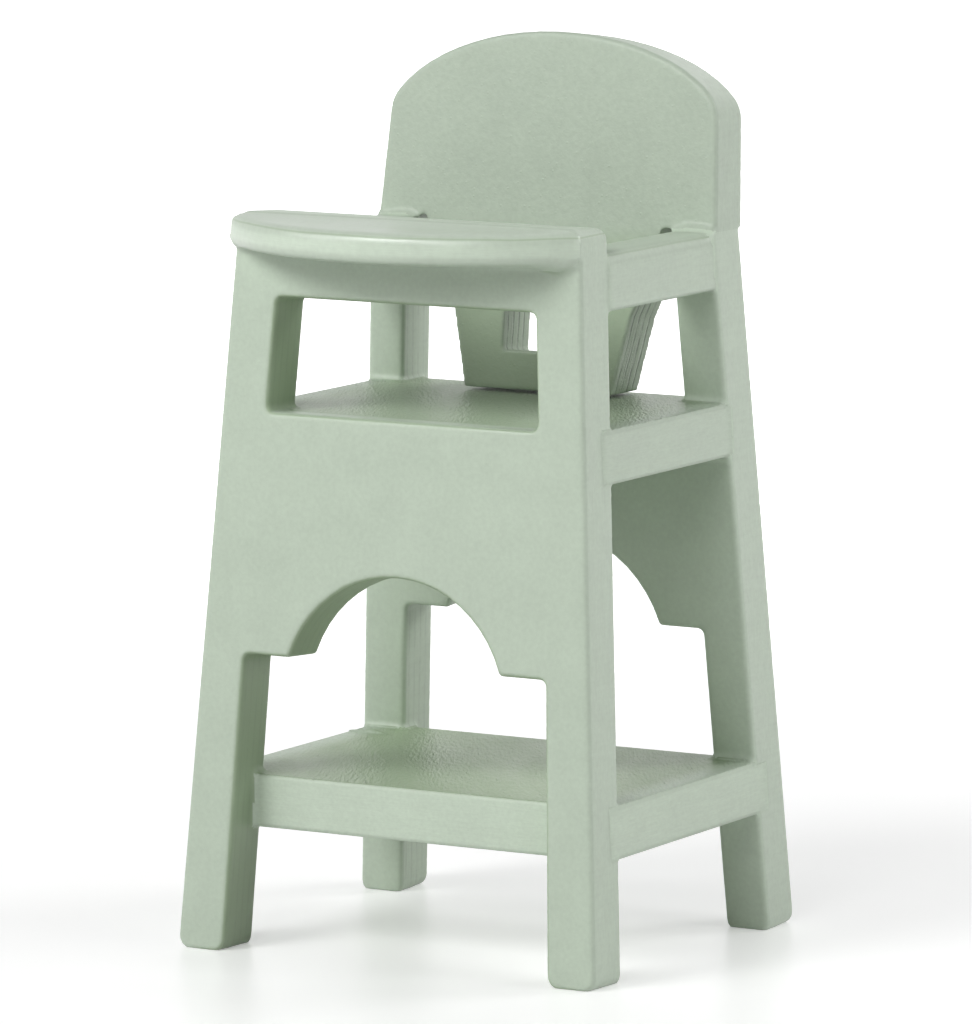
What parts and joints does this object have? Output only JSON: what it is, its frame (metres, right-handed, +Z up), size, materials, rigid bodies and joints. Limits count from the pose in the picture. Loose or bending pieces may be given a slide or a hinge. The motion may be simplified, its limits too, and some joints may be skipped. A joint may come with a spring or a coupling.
{
  "type": "doll high chair",
  "caption": "Doll high chair: leaning arched front and rear panels joined by a seat, a shelf and arms, with a rounded tray and a crowned backrest pierced for a tail.",
  "frame": {"origin": "on the floor under the feet, at the middle of the chair's box", "axes": "+Z up, -Y the way the seated doll faces, +X the chair's right side seen from the front"},
  "size_m": [0.061, 0.059, 0.1151],
  "materials": {
    "front_panel_paint": "sage green satin paint on plywood",
    "rear_panel_paint": "sage green satin paint on plywood",
    "seat_board_paint": "sage green satin paint on plywood",
    "bottom_shelf_paint": "sage green satin paint on plywood",
    "left_arm_paint": "sage green satin paint on plywood",
    "right_arm_paint": "sage green satin paint on plywood",
    "tray_paint": "sage green satin paint on plywood",
    "backrest_paint": "sage green satin paint on plywood"
  },
  "bodies": {
    "root": {"front_panel": "front_panel_paint", "rear_panel": "rear_panel_paint", "seat_board": "seat_board_paint", "bottom_shelf": "bottom_shelf_paint", "left_arm": "left_arm_paint", "right_arm": "right_arm_paint", "tray": "tray_paint", "backrest": "backrest_paint"}
  },
  "joints": []
}
